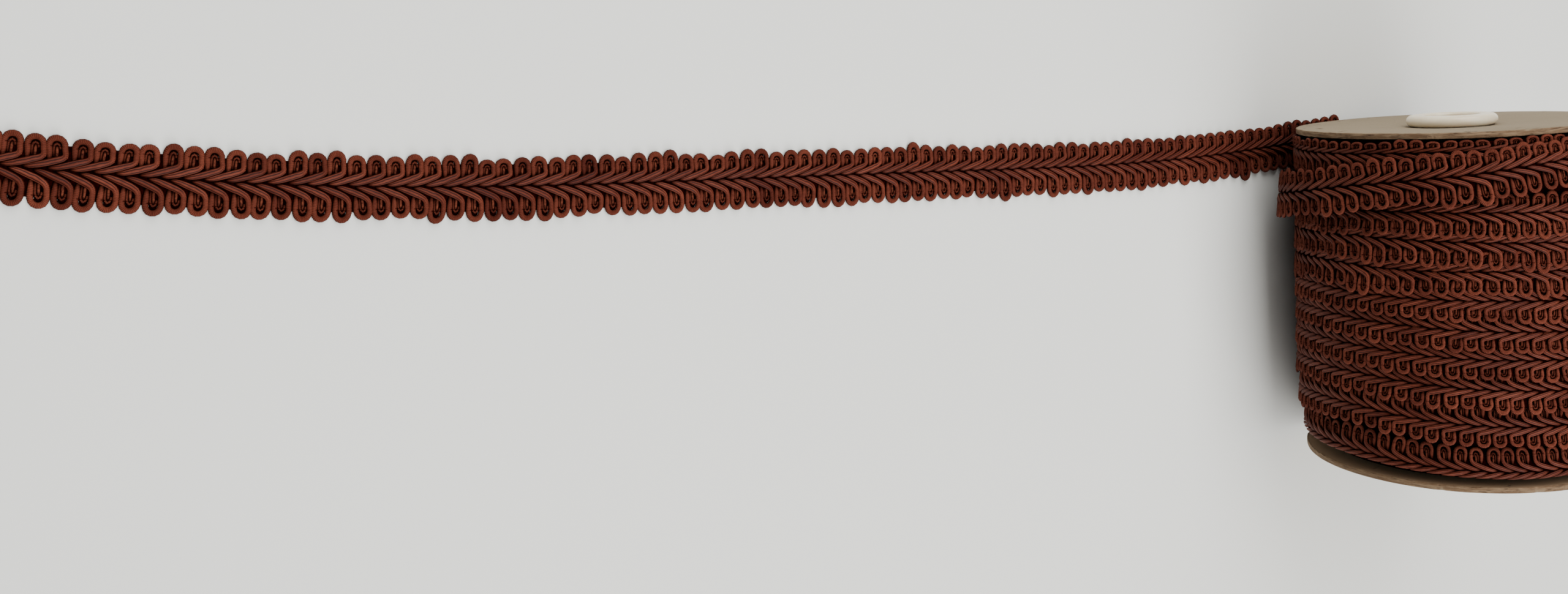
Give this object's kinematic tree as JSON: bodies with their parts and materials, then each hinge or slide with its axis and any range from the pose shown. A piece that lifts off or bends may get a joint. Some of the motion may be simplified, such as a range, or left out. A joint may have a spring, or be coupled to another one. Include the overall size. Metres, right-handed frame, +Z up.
{
  "type": "galloon trim on a spool",
  "caption": "Narrow looped galloon trim wound on a cardboard-flanged spool that lies on its side, with the loose end running out over the table.",
  "frame": {"origin": "middle of the whole on the table, bottom centre of the box of spool and loose end", "axes": "+Z up from the table, Y along the spool's axis with flange_top at +Y, the loose end runs towards -X"},
  "size_m": [0.441, 0.1318, 0.0928],
  "materials": {
    "trim": "russet brown gimp cord, satin, with near-black gaps between the cords",
    "card": "grey-beige board, matt, with a browner cut edge",
    "hub": "ivory moulded plastic, glossy"
  },
  "bodies": {
    "root": {"trim_roll": "trim", "trim_tail": "trim", "flange_top": "card", "flange_bottom": "card", "hub_top": "hub", "hub_bottom": "hub"}
  },
  "joints": []
}
